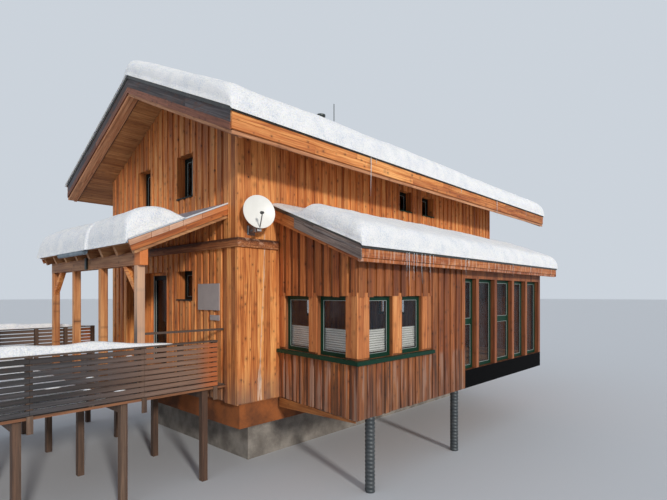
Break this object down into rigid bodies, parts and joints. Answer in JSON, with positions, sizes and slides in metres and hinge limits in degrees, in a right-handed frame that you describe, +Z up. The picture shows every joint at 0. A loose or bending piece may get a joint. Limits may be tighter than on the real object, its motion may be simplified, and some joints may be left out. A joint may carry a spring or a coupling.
{
  "type": "alpine chalet",
  "caption": "Wood-clad alpine chalet with a snow-covered gable roof, a porch with an opening door, a lean-to annex on columns and a fenced terrace.",
  "frame": {"origin": "on the level ground under the middle of the whole part", "axes": "+Z up; +Y along the ridge, from the front gable with the door to the rear gable; +X to the side with the annex"},
  "size_m": [9.99, 19.29, 9.26],
  "materials": {
    "concrete": "matt grey concrete",
    "brown_plaster": "matt brown plaster",
    "ribbed_steel": "satin dark ribbed sheet",
    "larch_cladding": "satin oiled boards",
    "brown_boards": "satin stained boards",
    "pale_boards": "matt pale planed boards",
    "weathered_boards": "matt grey weathered boards",
    "inner_floor": "satin floor boards",
    "roof_sheet": "satin grey sheet",
    "green_frames": "satin dark green paint",
    "glass": "clear",
    "dark_door": "satin dark paint",
    "bare_metal": "brushed",
    "dish_paint": "satin off-white paint",
    "sign_paint": "satin grey paint",
    "blind_fabric": "matt pleated cloth",
    "snow": "matt white snow"
  },
  "bodies": {
    "chalet": {"plinth_walls": "concrete", "foundation_slab": "brown_plaster", "annex_columns": "ribbed_steel", "front_wall_left": "larch_cladding", "front_wall_right": "larch_cladding", "front_gable_wall": "larch_cladding", "rear_wall": "larch_cladding", "side_wall_upper": "larch_cladding", "side_wall_lower": "larch_cladding", "left_wall": "larch_cladding", "annex_front_wall": "larch_cladding", "annex_side_wall": "larch_cladding", "annex_rear_wall": "larch_cladding", "belt_beam": "larch_cladding", "annex_glazed_frame": "larch_cladding", "corner_boards": "brown_boards", "porch_posts": "brown_boards", "porch_braces": "brown_boards", "porch_beam": "brown_boards", "eave_fascias": "brown_boards", "main_roof_right": "pale_boards", "main_roof_left": "pale_boards", "lean_to_roofs": "pale_boards", "porch_rafters": "pale_boards", "verge_boards": "weathered_boards", "lean_to_roof_edges": "weathered_boards", "deck_boards": "weathered_boards", "deck_bearers": "weathered_boards", "deck_piers": "weathered_boards", "fence_slats": "weathered_boards", "fence_posts": "weathered_boards", "fence_rails": "weathered_boards", "house_floors": "inner_floor", "annex_floor": "inner_floor", "roof_metal": "roof_sheet", "window_frames": "green_frames", "annex_window_sill": "green_frames", "door_frame": "green_frames", "window_panes": "glass", "dish_arm": "bare_metal", "roof_vent": "bare_metal", "satellite_dish": "dish_paint", "sign_board": "sign_paint", "annex_blinds": "blind_fabric", "roof_snow": "snow", "terrace_snow": "snow"},
    "entrance_door": {"door_leaf": "dark_door", "door_glass": "glass", "door_handle": "bare_metal"}
  },
  "joints": [
    {"name": "entrance_door_hinge", "type": "hinge", "parent": "chalet", "child": "entrance_door", "pos_m": [-1.8525, -4.03, 1.958], "axis": [0, 0, 1], "range_deg": [0, 95]}
  ]
}
